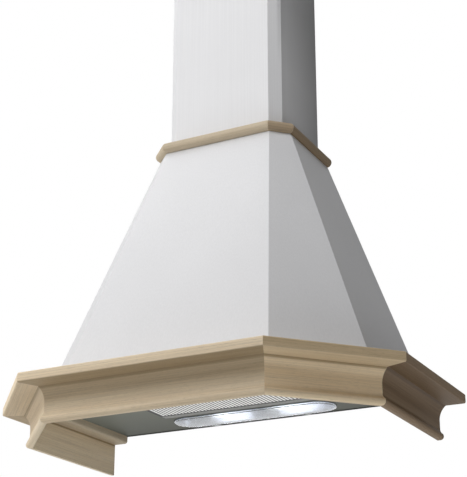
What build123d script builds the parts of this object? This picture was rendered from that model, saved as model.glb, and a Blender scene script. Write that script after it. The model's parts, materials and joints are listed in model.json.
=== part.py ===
from build123d import *
import math
import os

# Wall-mounted chimney hood with a moulded wooden cornice and collar.
# +X is to the right, +Y goes into the wall, +Z is up, all in millimetres.
# The origin is the centre of the four wall-screw holes, on the wall's face.

# ---------------------------------------------------------------- driving sizes
# Wooden cornice: plan, and the section that runs round it
hang_height = 300.0  # wall-screw centre above the cornice's lower edge
cornice_width = 900.0
cornice_depth = 550.0
corner_across = 188.0  # how far the angled corner runs along X
corner_along = 208.0  # and along Y
cornice_height = 90.0
cornice_thick = 64.0
fascia_height = 20.0
fascia_top_round = 4.0
fascia_low_round = 3.0
soffit_flat = 42.5  # from the fascia's face to the crease where the cove starts
throat_inset = 57.0
cove_radius = 37.5
bead_radius = 7.5
bead_proud = 7.0
bead_top = 24.0
bead_sweep = 140.0  # degrees of round on the bead's nose

# Wooden battens inside the cornice, and the splines in its mitres
batten_width = 33.0
batten_height = 16.5
batten_round = 6.0
spline_along_mitre = 36.0
spline_across_mitre = 50.0
spline_thick = 4.0
spline_clearance = 0.1

# Painted steel canopy
canopy_side_inset = 78.0  # cornice's face to the canopy's foot, at the sides
canopy_front_inset = 92.2  # and at the front
canopy_corner_inset = 53.9  # the foot's corner is this much smaller than the cornice's
canopy_side_ledge = 23.5  # canopy's top edge to the chimney, at the sides
canopy_front_ledge = 20.2  # and at the front
canopy_corner_ledge = 12.6  # the top's corner is this much larger than the chimney's
canopy_rise = 566.0
canopy_wall = 1.4  # sheet, measured level
sheet = 1.2
flange_gap = 1.0  # flange edge to the cornice's inner face
screw_head_radius = 3.4
screw_head_height = 2.0
screw_radius = 1.9
screw_length = 13.0
screw_hole_clearance = 0.3
screw_pilot_clearance = 0.05
screw_tip_gap = 1.0  # pilot hole left below the screw's tip
screw_inset = 6.5  # screw centre from the cornice's inner face

# Back panel with the wall-screw holes
back_sheet = 1.5
wall_hole_radius = 4.5
wall_hole_spacing_x = 360.0
wall_hole_spacing_z = 120.0

# Neck plate and moulded wooden collar
neck_sheet = 1.5
neck_inset = 1.0
collar_height = 23.0
collar_base_depth = 25.0
collar_nose_depth = 33.0
collar_nose_height = 11.0
collar_top_depth = 22.0

# Two-piece chimney
chimney_half_width = 138.5
chimney_depth = 214.0
chimney_corner = 22.5
chimney_sheet = 1.0
chimney_return = 12.0
lower_chimney_length = 500.0
upper_chimney_length = 440.0
upper_chimney_shown = 70.0
chimney_slide_gap = 1.0

# Nylon glides that fill the slide gap, fixed inside the lower chimney
glide_width = 24.0
glide_height = 14.0
glide_below_top = 12.0
glide_front_x = 60.0
glide_clearance = 0.05

# Bracket that carries the upper chimney
bracket_sheet = 2.0
bracket_height = 30.0
bracket_arm = 32.0
bracket_below_top = 25.0
bracket_screw_radius = 2.0
bracket_screw_head_radius = 4.0
bracket_screw_head_height = 0.6  # low enough to pass inside the lower chimney
bracket_screw_length = 9.0
bracket_hole_radius = 3.5
bracket_hole_spacing = 180.0
bracket_gap = 0.3
bracket_pad_gap = 5.0  # wall pads to the chimney's returns

# Outlet spigot with its pair of non-return flaps
outlet_radius = 75.0
outlet_wall = 1.5
outlet_height = 60.0
outlet_flange = 9.0
spindle_height = 34.0
spindle_radius = 2.0
spindle_hole_clearance = 0.05
flap_thick = 1.2
flap_edge_gap = 1.0
flap_bore_clearance = 0.06
flap_barrel_wall = 1.6
flap_barrel_length = 16.0
flap_barrel_gap = 0.4
flap_barrel_count = 6  # the two flaps take them in turn
flap_root_gap = 0.4

# Blower: volute casing, wheel and motor
blower_rear_radius = 140.0  # largest radius of the scroll
blower_step = 14.0  # the scroll's radius drops by this every quarter turn
blower_half_width = 76.0
blower_wall = 2.0
blower_centre_below_mouth = 222.0
blower_inlet_radius = 74.0
blower_flange = 9.0
wheel_radius = 92.0
wheel_blade_depth = 13.0
wheel_half_width = 55.0
wheel_blade_count = 32
wheel_blade_thick = 1.2
wheel_blade_lean = 25.0
wheel_ring_width = 3.0
wheel_disc_thick = 2.0
wheel_hub_radius = 12.0
wheel_hub_half_length = 11.0
motor_radius = 42.0
motor_rim_round = 3.0
motor_to_hub = 4.0
motor_neck_radius = 16.0
motor_neck_length = 6.0
shaft_radius = 4.0
shaft_length = 64.0
shaft_clearance = 0.05
shaft_hub_clearance = 0.02
motor_plate_thick = 2.0
motor_plate_radius = 34.0
motor_arm_width = 16.0
motor_arm_length = 90.0

# Mains terminal box and its gland
terminal_width = 100.0
terminal_depth = 42.0
terminal_height = 64.0
terminal_x = -180.0
terminal_above_panel = 66.0
terminal_lid = 3.0
terminal_lid_overhang = 1.5
gland_radius = 8.0
gland_hole_clearance = 0.2
gland_nut_radius = 12.0
gland_nut_height = 6.0
gland_bore_radius = 4.5
gland_length = 24.0
gland_below_plate = 8.0
gland_x = -100.0
gland_y = -35.0

# Underside panel
panel_rim = 12.0
opening_gap = 1.2

# Grease filter
filter_half_width = 190.0
filter_rear_y = -107.0
filter_from_front = 38.8  # filter's front edge to the canopy's foot
filter_thick = 9.0
filter_border_side = 6.0
filter_border_rear = 25.0
filter_border_front = 26.0
filter_skin = 1.2
filter_rib_spacing = 6.2
filter_rib_width = 2.6
filter_rib_depth = 1.2
filter_mesh_layers = 3
filter_mesh_thick = 0.6
filter_pull_width = 90.0
filter_pull_depth = 12.0
filter_pull_recess = 2.4
filter_pin_radius = 2.0
filter_pin_length = 6.0
filter_pin_clearance = 0.06
filter_pin_from_rear = 6.0
filter_pin_height = 5.0
ear_gap = 2.0
ear_thick = 2.0
ear_half_depth = 6.0
ear_height = 10.0
catch_width = 24.0
catch_sheet = 0.8
catch_height = 16.0
catch_foot = 5.0
catch_x = 110.0
catch_gap = 0.3

# Lamp housing, holders, bulbs and the clear cover
lens_half_length = 190.0
lens_radius = 40.0
lens_centre_y = -61.0
lens_drop = 4.8
lens_round = 4.0
lens_wall = 2.0
lens_lap = 4.0  # the cover's rim laps the panel's opening by this
lens_hinge_back = 4.0  # hinge line behind the cover's rear edge
lens_hinge_drop = 2.6
lens_pin_radius = 1.2
lens_pin_clearance = 0.06
lens_barrel_radius = 2.3
lens_barrel_length = 16.0
lens_leaf = 1.8
lens_hinge_x = 110.0
lens_lug_thick = 3.0
lens_lug_gap = 0.4
lens_lug_half_depth = 2.2
lamp_housing_height = 52.0
lamp_housing_inset = 3.0
lamp_housing_corner = 14.0
lamp_axis_height = 26.0
holder_radius = 14.0
holder_length = 30.0
holder_from_middle = 5.0
holder_foot = 12.0
bulb_radius = 17.5
bulb_length = 96.0
bulb_neck_radius = 8.5
bulb_widest_share = 0.4  # of the glass's length
bulb_shoulder_share = 0.72  # of the radius, halfway from there to the tip
bulb_neck_tangent = (1, 0.3)
bulb_tip_tangent = (-0.2, -1)
bulb_cap_radius = 6.8
bulb_cap_depth = 22.0
bulb_cap_clearance = 0.2

# Push buttons, their bezel and the switch block
button_count = 5
button_spacing = 27.0
button_width = 20.0
button_depth = 12.0
button_proud = 3.0
button_height = 12.0
button_clearance = 0.3
button_round = 1.2
bezel_half_width = 75.0
bezel_half_depth = 11.0
bezel_lip = 2.5
bezel_lip_round = 1.0
bezel_corner = 5.5
bezel_body_inset = 2.0
bezel_body_height = 10.0
bezel_cut_clearance = 0.3
bezel_from_filter = 7.0  # panel left between the filter's opening and the bezel
switch_inset = 2.0
switch_height = 14.0

margin = 5.0  # how far cutting shapes run past what they cut

# ---------------------------------------------------------------- levels and places
canopy_base_half_width = cornice_width / 2 - canopy_side_inset
canopy_base_depth = cornice_depth - canopy_front_inset
canopy_base_corner = (corner_across + corner_along) / 2 - canopy_corner_inset
canopy_top_half_width = chimney_half_width + canopy_side_ledge
canopy_top_depth = chimney_depth + canopy_front_ledge
canopy_top_corner = chimney_corner + canopy_corner_ledge
cornice_low = -hang_height
cornice_top = cornice_low + cornice_height
soffit_level = cornice_height - fascia_height
batten_low = cornice_low + soffit_level
panel_low = batten_low + batten_height
panel_top = panel_low + sheet
canopy_top = panel_low + canopy_rise
neck_top = canopy_top + neck_sheet
lower_chimney_top = neck_top + lower_chimney_length
upper_chimney_top = lower_chimney_top + upper_chimney_shown
outlet_y = -chimney_depth / 2
spindle_z = neck_top + spindle_height
blower_y = outlet_y - (blower_rear_radius - blower_step) / 2
blower_z = canopy_top - blower_centre_below_mouth
wheel_y = blower_y - blower_step / 2
wheel_z = blower_z - blower_step / 2
filter_front_y = filter_from_front - canopy_base_depth
filter_hinge_y = filter_rear_y - filter_pin_from_rear
filter_hinge_z = panel_low + filter_pin_height
lens_hinge_y = lens_centre_y + lens_radius + lens_hinge_back
lens_hinge_z = panel_low - lens_hinge_drop
lamp_axis_z = panel_top + lamp_axis_height
bezel_y = filter_front_y - opening_gap - bezel_from_filter - bezel_half_depth


# ---------------------------------------------------------------- helpers
def ring(half_width, depth, across, along, inset):
    """Corner points of a five-sided plan, left to right, moved in by inset."""
    slant = math.hypot(across, along)
    side_x = half_width - inset
    side_y = -(depth - along) + inset * (slant - along) / across
    front_x = half_width - across - inset * (slant - across) / along
    front_y = -(depth - inset)
    left = [(-side_x, 0), (-side_x, side_y), (-front_x, front_y)]
    return left + [(-x, y) for x, y in reversed(left)]


def cornice_ring(inset):
    return ring(cornice_width / 2, cornice_depth, corner_across, corner_along, inset)


def canopy_ring(z, inset):
    """The canopy's plan at a height, moved in by inset."""
    share = (z - panel_low) / canopy_rise
    half_width = canopy_base_half_width + share * (canopy_top_half_width - canopy_base_half_width)
    depth = canopy_base_depth + share * (canopy_top_depth - canopy_base_depth)
    corner = canopy_base_corner + share * (canopy_top_corner - canopy_base_corner)
    return ring(half_width, depth, corner, corner, inset)


def upright_plate(inset, z_low, z_high, back_y, thick):
    """A flat sheet parallel to the wall that fills the canopy's width."""
    low = canopy_ring(z_low, inset)[-1][0]
    high = canopy_ring(z_high, inset)[-1][0]
    points = [(-low, z_low), (low, z_low), (high, z_high), (-high, z_high)]
    face = Plane.XZ * make_face(Polyline(*points, close=True).edges())
    return Pos(0, back_y, 0) * extrude(face, amount=thick, dir=(0, -1, 0))


def chimney_ring(inset):
    return ring(chimney_half_width, chimney_depth, chimney_corner, chimney_corner, inset)


def slab(points, z_low, z_high):
    face = make_face(Polyline(*points, close=True).edges())
    return Pos(0, 0, z_low) * extrude(face, amount=z_high - z_low, dir=(0, 0, 1))


def band(outer, inner, side, z_low, z_high):
    """One side of a five-sided band between two plans, cut off at its mitres."""
    points = [outer[side], outer[side + 1], inner[side + 1], inner[side]]
    return slab(points, z_low, z_high)


def slanted(low_outer, low_inner, high_outer, high_inner, side, z_low, z_high):
    """A flat slanted board between a lower and an upper plan."""

    def corners(outer, inner, z):
        plan = [outer[side], outer[side + 1], inner[side + 1], inner[side]]
        return [Vector(x, y, z) for x, y in plan]

    low = corners(low_outer, low_inner, z_low)
    high = corners(high_outer, high_inner, z_high)
    loops = [low, high]
    for k in range(4):
        after = (k + 1) % 4
        loops.append([low[k], low[after], high[after], high[k]])
    faces = [Face(Wire.make_polygon(loop, close=True)) for loop in loops]
    return Part() + Solid(Shell(faces))


def moulding(profile, corners, side, outer, inner, z_low, z_high):
    """A straight moulding along one side of a plan, mitred at both ends.
    The profile's X is the distance inward and its Y is the height."""
    start = Vector(*corners[side], z_low)
    end = Vector(*corners[side + 1], z_low)
    along = (end - start).normalized()
    inward = Vector(-along.Y, along.X, 0)
    plane = Plane(origin=start - along * cornice_thick, x_dir=inward, z_dir=along)
    length = (end - start).length + 2 * cornice_thick
    bar = extrude(plane * profile, amount=length, dir=along)
    return bar & band(outer, inner, side, z_low - margin, z_high + margin)


def point_on(corners, side, share):
    (x0, y0), (x1, y1) = corners[side], corners[side + 1]
    return x0 + share * (x1 - x0), y0 + share * (y1 - y0)


def level_box(x0, x1, y0, y1, z0, z1):
    centre = Pos((x0 + x1) / 2, (y0 + y1) / 2, (z0 + z1) / 2)
    return centre * Box(x1 - x0, y1 - y0, z1 - z0)


def rod_z(radius, x, y, z_low, z_high):
    return Pos(x, y, (z_low + z_high) / 2) * Cylinder(radius, z_high - z_low)


def rod_x(radius, x_low, x_high, y, z):
    return Pos((x_low + x_high) / 2, y, z) * Rot(0, 90, 0) * Cylinder(radius, x_high - x_low)


def rod_y(radius, x, y_low, y_high, z):
    return Pos(x, (y_low + y_high) / 2, z) * Rot(90, 0, 0) * Cylinder(radius, y_high - y_low)


def stadium(half_length, radius):
    return SlotOverall(2 * half_length, 2 * radius)


def save(name, shape):
    export_step(shape, f"parts/{name}.step")


sides = ["side_left", "chamfer_left", "front", "chamfer_right", "side_right"]
sheet_screw_shares = [[0.25, 0.75], [0.5], [0.12, 0.5, 0.88], [0.5], [0.25, 0.75]]


# ---------------------------------------------------------------- wooden cornice
def cornice_profile():
    nose = throat_inset - bead_proud
    centre = (nose + bead_radius, bead_radius)
    foot = Line((cornice_thick, 0), (centre[0], 0))
    bead = CenterArc(centre, bead_radius, -90, -bead_sweep)
    bead_end = bead @ 1
    throat = TangentArc(bead_end, (throat_inset, bead_top), tangent=bead % 1)
    # The cove leaves the throat upright and meets the soffit at an angle, in a crease
    cove_axis = throat_inset - cove_radius
    cove_run = soffit_flat - cove_axis
    cove_rise = math.sqrt(cove_radius**2 - cove_run**2)
    cove_low = (throat_inset, soffit_level - cove_rise)
    flat = Line((throat_inset, bead_top), cove_low)
    cove_sweep = math.degrees(math.atan2(cove_rise, cove_run))
    cove = CenterArc((cove_axis, cove_low[1]), cove_radius, 0, cove_sweep)
    soffit = Line((soffit_flat, soffit_level), (fascia_low_round, soffit_level))
    low_centre = (fascia_low_round, soffit_level + fascia_low_round)
    low_round = CenterArc(low_centre, fascia_low_round, -90, -90)
    top_centre = (fascia_top_round, cornice_height - fascia_top_round)
    fascia = Line((0, low_centre[1]), (0, top_centre[1]))
    top_round = CenterArc(top_centre, fascia_top_round, 180, -90)
    top = Line((fascia_top_round, cornice_height), (cornice_thick, cornice_height))
    back = Line((cornice_thick, cornice_height), (cornice_thick, 0))
    curves = [foot, bead, throat, flat, cove, soffit, low_round, fascia, top_round, top, back]
    return make_face([edge for curve in curves for edge in curve.edges()])


def mitre_blocks(clearance):
    """A flat block across each of the cornice's four mitres."""
    blocks = []
    face = cornice_ring(0)
    back = cornice_ring(cornice_thick)
    level = cornice_low + soffit_level + fascia_height / 2
    for corner in range(1, 5):
        (x0, y0), (x1, y1) = face[corner], back[corner]
        turn = math.degrees(math.atan2(y1 - y0, x1 - x0))
        place = Pos((x0 + x1) / 2, (y0 + y1) / 2, level) * Rot(0, 0, turn)
        grow = 2 * clearance
        block = Box(spline_along_mitre + grow, spline_across_mitre + grow, spline_thick + grow)
        blocks.append(place * block)
    return blocks


def make_cornice():
    profile = cornice_profile()
    corners = cornice_ring(0)
    outer = cornice_ring(-margin)
    inner = cornice_ring(cornice_thick + margin)
    slots = mitre_blocks(spline_clearance)
    for side, name in enumerate(sides):
        rail = moulding(profile, corners, side, outer, inner, cornice_low, cornice_top)
        save(f"cornice_{name}", rail - slots)
    save("corner_splines", Part() + mitre_blocks(0))


def screw_points():
    line = cornice_ring(cornice_thick + screw_inset)
    return [point_on(line, side, share) for side in range(5) for share in sheet_screw_shares[side]]


def make_battens():
    low_round = (cornice_thick + batten_width - batten_round, batten_round)
    edges = [
        Line((cornice_thick, 0), (low_round[0], 0)),
        CenterArc(low_round, batten_round, -90, 90),
        Line((low_round[0] + batten_round, batten_round), (low_round[0] + batten_round, batten_height)),
        Line((low_round[0] + batten_round, batten_height), (cornice_thick, batten_height)),
        Line((cornice_thick, batten_height), (cornice_thick, 0)),
    ]
    profile = make_face(edges)
    corners = cornice_ring(0)
    outer = cornice_ring(cornice_thick - margin)
    inner = cornice_ring(cornice_thick + batten_width + margin)
    reach = panel_top - screw_length
    pilot = screw_radius + screw_pilot_clearance
    pilots = [rod_z(pilot, x, y, reach - screw_tip_gap, panel_low + margin) for x, y in screw_points()]
    for side, name in enumerate(sides):
        bar = moulding(profile, corners, side, outer, inner, batten_low, panel_low)
        save(f"batten_{name}", bar - pilots)


# ---------------------------------------------------------------- steel canopy
def make_canopy():
    low_outer = canopy_ring(panel_low, 0)
    low_inner = canopy_ring(panel_low, canopy_wall)
    high_outer = canopy_ring(canopy_top, 0)
    high_inner = canopy_ring(canopy_top, canopy_wall)
    flange = cornice_ring(cornice_thick + flange_gap)
    hole = screw_radius + screw_hole_clearance
    holes = [rod_z(hole, x, y, panel_low - margin, panel_top + margin) for x, y in screw_points()]
    walls = [
        slanted(low_outer, low_inner, high_outer, high_inner, side, panel_low, canopy_top)
        for side in range(5)
    ]
    for side, name in enumerate(sides):
        foot = band(flange, low_inner, side, panel_low, panel_top) - holes
        foot -= walls[:side] + walls[side + 1 :]
        save(f"canopy_{name}", walls[side] + foot)


def make_canopy_screws():
    screws = []
    for x, y in screw_points():
        shank = rod_z(screw_radius, x, y, panel_top - screw_length, panel_top)
        head = rod_z(screw_head_radius, x, y, panel_top, panel_top + screw_head_height)
        rim = head.edges().filter_by(GeomType.CIRCLE).sort_by(Axis.Z)[-1]
        screws.append(shank + fillet(rim, screw_head_height / 2))
    save("canopy_screws", Part() + screws)


def make_back_panel():
    plate = upright_plate(canopy_wall, panel_low, canopy_top, 0, back_sheet)
    for x in (-wall_hole_spacing_x / 2, wall_hole_spacing_x / 2):
        for z in (-wall_hole_spacing_z / 2, wall_hole_spacing_z / 2):
            plate -= rod_y(wall_hole_radius, x, -back_sheet - margin, margin, z)
    save("back_panel", plate)


def make_neck_plate():
    plate = slab(canopy_ring(canopy_top, neck_inset), canopy_top, neck_top)
    plate -= rod_z(outlet_radius - outlet_wall, 0, outlet_y, canopy_top - margin, neck_top + margin)
    gland = gland_radius + gland_hole_clearance
    plate -= rod_z(gland, gland_x, gland_y, canopy_top - margin, neck_top + margin)
    save("neck_plate", plate)


# ---------------------------------------------------------------- wooden collar
def make_collar():
    edges = [
        Line((0, 0), (-collar_base_depth, 0)),
        ThreePointArc(
            (-collar_base_depth, 0),
            (-collar_nose_depth, collar_nose_height),
            (-collar_top_depth, collar_height),
        ),
        Line((-collar_top_depth, collar_height), (0, collar_height)),
        Line((0, collar_height), (0, 0)),
    ]
    profile = make_face(edges)
    corners = chimney_ring(0)
    outer = chimney_ring(-collar_nose_depth - margin)
    inner = chimney_ring(margin)
    for side, name in enumerate(sides):
        rail = moulding(profile, corners, side, outer, inner, neck_top, neck_top + collar_height)
        save(f"collar_{name}", rail)


# ---------------------------------------------------------------- chimney
def chimney_sleeve(inset, z_low, z_high):
    """A folded sleeve of five faces with a return along each wall edge."""
    outer = chimney_ring(inset)
    inner = chimney_ring(inset + chimney_sheet)
    sleeve = Part()
    for side in range(5):
        sleeve += band(outer, inner, side, z_low, z_high)
    edge = chimney_half_width - inset
    for x0, x1 in ((-edge, -edge + chimney_return), (edge - chimney_return, edge)):
        sleeve += level_box(x0, x1, -inset - chimney_sheet, -inset, z_low, z_high)
    return sleeve - level_box(-edge, edge, -inset, margin, z_low, z_high)


def make_chimney():
    save("lower_chimney", chimney_sleeve(0, neck_top, lower_chimney_top))
    inset = chimney_sheet + chimney_slide_gap
    low = upper_chimney_top - upper_chimney_length
    sleeve = chimney_sleeve(inset, low, upper_chimney_top)
    screw_z = upper_chimney_top - bracket_below_top - bracket_height / 2
    screw_y = -bracket_arm / 2
    wall = chimney_half_width - inset
    hole = bracket_screw_radius + screw_hole_clearance
    sleeve -= rod_x(hole, -wall - margin, wall + margin, screw_y, screw_z)
    save("upper_chimney", sleeve)

    inside = wall - chimney_sheet - bracket_gap
    z0 = upper_chimney_top - bracket_below_top - bracket_height
    z1 = z0 + bracket_height
    back = inset + chimney_sheet + bracket_gap
    bracket = level_box(-inside, inside, -back - bracket_sheet, -back, z0, z1)
    for x0, x1 in ((-inside, -inside + bracket_sheet), (inside - bracket_sheet, inside)):
        bracket += level_box(x0, x1, -bracket_arm, -back, z0, z1)
    pads = inside - chimney_return - bracket_pad_gap
    bracket += level_box(-pads, pads, -back, 0, z0, z1)
    for x in (-bracket_hole_spacing / 2, bracket_hole_spacing / 2):
        bracket -= rod_y(bracket_hole_radius, x, -back - bracket_sheet - margin, margin, screw_z)
    tapped = bracket_screw_radius + screw_pilot_clearance
    bracket -= rod_x(tapped, -wall - margin, wall + margin, screw_y, screw_z)
    save("chimney_bracket", bracket)

    screws = []
    for sign in (-1, 1):
        tip = wall - bracket_screw_length
        shank = rod_x(bracket_screw_radius, *sorted((sign * tip, sign * wall)), screw_y, screw_z)
        head_end = wall + bracket_screw_head_height
        head = rod_x(bracket_screw_head_radius, *sorted((sign * wall, sign * head_end)), screw_y, screw_z)
        screws.append(shank + head)
    save("bracket_screws", Part() + screws)


def make_glides():
    thick = chimney_slide_gap - glide_clearance
    half = glide_width / 2
    z1 = lower_chimney_top - glide_below_top
    z0 = z1 - glide_height
    front = -chimney_depth + chimney_sheet
    wall = chimney_half_width - chimney_sheet
    glides = []
    for x in (-glide_front_x, glide_front_x):
        glides.append(level_box(x - half, x + half, front, front + thick, z0, z1))
    for sign in (-1, 1):
        x0, x1 = sorted((sign * (wall - thick), sign * wall))
        glides.append(level_box(x0, x1, outlet_y - half, outlet_y + half, z0, z1))
    save("chimney_glides", Part() + glides)


# ---------------------------------------------------------------- outlet and flaps
def make_outlet():
    low, high = neck_top, neck_top + outlet_height
    tube = rod_z(outlet_radius, 0, outlet_y, low, high)
    tube += rod_z(outlet_radius + outlet_flange, 0, outlet_y, low, low + outlet_wall)
    tube -= rod_z(outlet_radius - outlet_wall, 0, outlet_y, low - margin, high + margin)
    hole = spindle_radius + spindle_hole_clearance
    reach = outlet_radius + margin
    tube -= rod_x(hole, -reach, reach, outlet_y, spindle_z)
    save("outlet_collar", tube)
    end = outlet_radius
    save("flap_spindle", rod_x(spindle_radius, -end, end, outlet_y, spindle_z))


def make_flaps():
    bore = spindle_radius + flap_bore_clearance
    barrel = bore + flap_barrel_wall
    root = barrel + flap_root_gap
    disc_radius = outlet_radius - outlet_wall - flap_edge_gap
    step = flap_barrel_length + flap_barrel_gap
    z0, z1 = spindle_z - flap_thick / 2, spindle_z + flap_thick / 2
    for name, sign, first in (("flap_front", -1, 0), ("flap_rear", 1, 1)):
        disc = rod_z(disc_radius, 0, outlet_y, z0, z1)
        keep = sorted((outlet_y + sign * root, outlet_y + sign * (disc_radius + margin)))
        half = disc & level_box(-disc_radius, disc_radius, *keep, z0, z1)
        for k in range(first, flap_barrel_count, 2):
            x0 = (k - flap_barrel_count / 2) * step
            x1 = x0 + flap_barrel_length
            half += rod_x(barrel, x0, x1, outlet_y, spindle_z)
            tab = sorted((outlet_y + sign * bore, outlet_y + sign * (root + flap_thick)))
            half += level_box(x0, x1, *tab, z0, z1)
        half -= rod_x(bore, -disc_radius, disc_radius, outlet_y, spindle_z)
        save(name, half)


# ---------------------------------------------------------------- blower
def scroll_face(inset, mouth_z):
    """Side view of the volute: three quarter arcs and an upright mouth."""
    rear = blower_rear_radius - inset
    low = rear - blower_step
    front = low - blower_step
    y, z, step = blower_y, blower_z, blower_step
    duct_y = y - step + inset
    top_z = z - step + math.sqrt(front**2 - inset**2)
    end_angle = math.degrees(math.acos(inset / front))
    edges = [
        Line((y + rear, mouth_z), (y + rear, z)),
        CenterArc((y, z), rear, 0, -90),
        CenterArc((y, z - step), low, -90, -90),
        CenterArc((y - step, z - step), front, 180, end_angle - 180),
        Line((duct_y, top_z), (duct_y, mouth_z)),
        Line((duct_y, mouth_z), (y + rear, mouth_z)),
    ]
    return Plane.YZ * make_face(edges)


def make_blower():
    half = blower_half_width
    for name, sign in (("blower_housing_left", -1), ("blower_housing_right", 1)):
        shell = extrude(scroll_face(0, canopy_top), amount=half, dir=(sign, 0, 0))
        core = scroll_face(blower_wall, canopy_top + margin)
        inner = extrude(core, amount=half - blower_wall, dir=(sign, 0, 0))
        shell -= inner
        y0 = blower_y - blower_step - blower_flange
        y1 = blower_y + blower_rear_radius
        x0, x1 = sorted((0, sign * (half + blower_flange)))
        lip = level_box(x0, x1, y0, y1, canopy_top - blower_wall, canopy_top)
        shell += lip - inner
        wall = sorted((sign * (half - blower_wall - margin), sign * (half + margin)))
        shell -= rod_x(blower_inlet_radius, *wall, wheel_y, wheel_z)
        save(name, shell)


def make_wheel():
    ring_inner = wheel_radius - wheel_blade_depth
    blade_mid = wheel_radius - wheel_blade_depth / 2
    wheel = rod_x(blade_mid, -wheel_disc_thick / 2, wheel_disc_thick / 2, 0, 0)
    wheel += rod_x(wheel_hub_radius, -wheel_hub_half_length, wheel_hub_half_length, 0, 0)
    for end in (-wheel_half_width, wheel_half_width - wheel_ring_width):
        hoop = rod_x(wheel_radius, end, end + wheel_ring_width, 0, 0)
        wheel += hoop - rod_x(ring_inner, end - margin, end + wheel_ring_width + margin, 0, 0)
    lean = math.radians(wheel_blade_lean)
    chord = wheel_blade_depth * math.cos(lean) - wheel_blade_thick
    blades = []
    for k in range(wheel_blade_count):
        blade = Box(2 * wheel_half_width - wheel_ring_width, wheel_blade_thick, chord)
        turned = Rot(360 * k / wheel_blade_count, 0, 0) * Pos(0, 0, blade_mid)
        blades.append(turned * Rot(wheel_blade_lean, 0, 0) * blade)
    wheel += blades
    bore = shaft_radius + shaft_hub_clearance
    wheel -= rod_x(bore, -wheel_half_width, wheel_half_width, 0, 0)
    save("blower_wheel", Pos(0, wheel_y, wheel_z) * wheel)


def make_motor():
    plate_x = -blower_half_width
    front_x = -wheel_hub_half_length - motor_to_hub
    neck_x = front_x - motor_neck_length
    body = rod_x(motor_radius, plate_x, neck_x, wheel_y, wheel_z)
    body = fillet(body.edges().filter_by(GeomType.CIRCLE), motor_rim_round)
    body += rod_x(motor_neck_radius, neck_x, front_x, wheel_y, wheel_z)
    shaft_end = wheel_hub_half_length
    shaft_start = shaft_end - shaft_length
    bore = shaft_radius + shaft_clearance
    body -= rod_x(bore, shaft_start - shaft_clearance, front_x + margin, wheel_y, wheel_z)
    save("blower_motor", body)
    save("motor_shaft", rod_x(shaft_radius, shaft_start, shaft_end, wheel_y, wheel_z))

    plate_back = plate_x - motor_plate_thick
    arm_half = motor_arm_width / 2
    plate = rod_x(motor_plate_radius, plate_back, plate_x, 0, 0)
    for turn in (90, 210, 330):
        arm = level_box(plate_back, plate_x, -arm_half, arm_half, 0, motor_arm_length)
        plate += Rot(turn, 0, 0) * arm
    save("motor_bracket", Pos(0, wheel_y, wheel_z) * plate)


# ---------------------------------------------------------------- wiring
def make_wiring():
    x0, x1 = terminal_x - terminal_width / 2, terminal_x + terminal_width / 2
    z0 = panel_top + terminal_above_panel
    z1 = z0 + terminal_height
    back = -back_sheet
    front = back - terminal_depth
    box = level_box(x0, x1, front, back, z0, z1)
    box = fillet(box.edges().filter_by(Axis.Y), terminal_lid)
    over = terminal_lid_overhang
    lid = level_box(x0 - over, x1 + over, front - terminal_lid, front, z0 - over, z1 + over)
    lid = fillet(lid.edges().filter_by(Axis.Y), terminal_lid)
    save("terminal_box", box + lid)

    low = canopy_top - gland_below_plate
    gland = rod_z(gland_radius, gland_x, gland_y, low, low + gland_length)
    for base in (canopy_top - gland_nut_height, neck_top):
        nut = extrude(RegularPolygon(gland_nut_radius, 6), amount=gland_nut_height)
        gland += Pos(gland_x, gland_y, base) * nut
    gland -= rod_z(gland_bore_radius, gland_x, gland_y, low - margin, low + gland_length + margin)
    save("cable_gland", gland)


# ---------------------------------------------------------------- underside panel
def filter_opening():
    x = filter_half_width + opening_gap
    return (-x, x, filter_front_y - opening_gap, filter_rear_y + opening_gap)


def make_under_panel():
    rim_top = panel_low + panel_rim
    mid_rim = canopy_wall + sheet / 2
    panel = slab(canopy_ring(panel_top, mid_rim), panel_low, panel_top)
    low_outer = canopy_ring(panel_low, canopy_wall)
    low_inner = canopy_ring(panel_low, canopy_wall + sheet)
    high_outer = canopy_ring(rim_top, canopy_wall)
    high_inner = canopy_ring(rim_top, canopy_wall + sheet)
    for side in range(5):
        panel += slanted(low_outer, low_inner, high_outer, high_inner, side, panel_low, rim_top)
    wide = cornice_width
    panel -= level_box(-wide, wide, -back_sheet, margin, panel_low - margin, rim_top + margin)
    panel += upright_plate(mid_rim, panel_low, rim_top, -back_sheet, sheet)

    panel -= level_box(*filter_opening(), panel_low - margin, panel_top + margin)
    lamp = stadium(lens_half_length - lens_lap, lens_radius - lens_lap)
    lamp = extrude(lamp, amount=sheet + 2 * margin)
    panel -= Pos(0, lens_centre_y, panel_low - margin) * lamp
    cut = bezel_cut_clearance - bezel_body_inset
    bx, by = bezel_half_width + cut, bezel_half_depth + cut
    panel -= level_box(-bx, bx, bezel_y - by, bezel_y + by, panel_low - margin, panel_top + margin)

    hole = filter_pin_radius + filter_pin_clearance
    for sign in (-1, 1):
        near = filter_half_width + ear_gap
        x0, x1 = sorted((sign * near, sign * (near + ear_thick)))
        y0, y1 = filter_hinge_y - ear_half_depth, filter_hinge_y + ear_half_depth
        ear = level_box(x0, x1, y0, y1, panel_low, panel_top + ear_height)
        panel += ear - rod_x(hole, x0 - margin, x1 + margin, filter_hinge_y, filter_hinge_z)

    for middle in (-lens_hinge_x, lens_hinge_x):
        near = lens_barrel_length / 2 + lens_lug_gap
        y0, y1 = lens_hinge_y - lens_lug_half_depth, lens_hinge_y + lens_lug_half_depth
        z0 = lens_hinge_z - lens_lug_half_depth
        for a, b in ((-near - lens_lug_thick, -near), (near, near + lens_lug_thick)):
            panel += level_box(middle + a, middle + b, y0, y1, z0, panel_low)
        reach = near + lens_lug_thick / 2
        panel += rod_x(lens_pin_radius, middle - reach, middle + reach, lens_hinge_y, lens_hinge_z)
    save("under_panel", panel)


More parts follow.
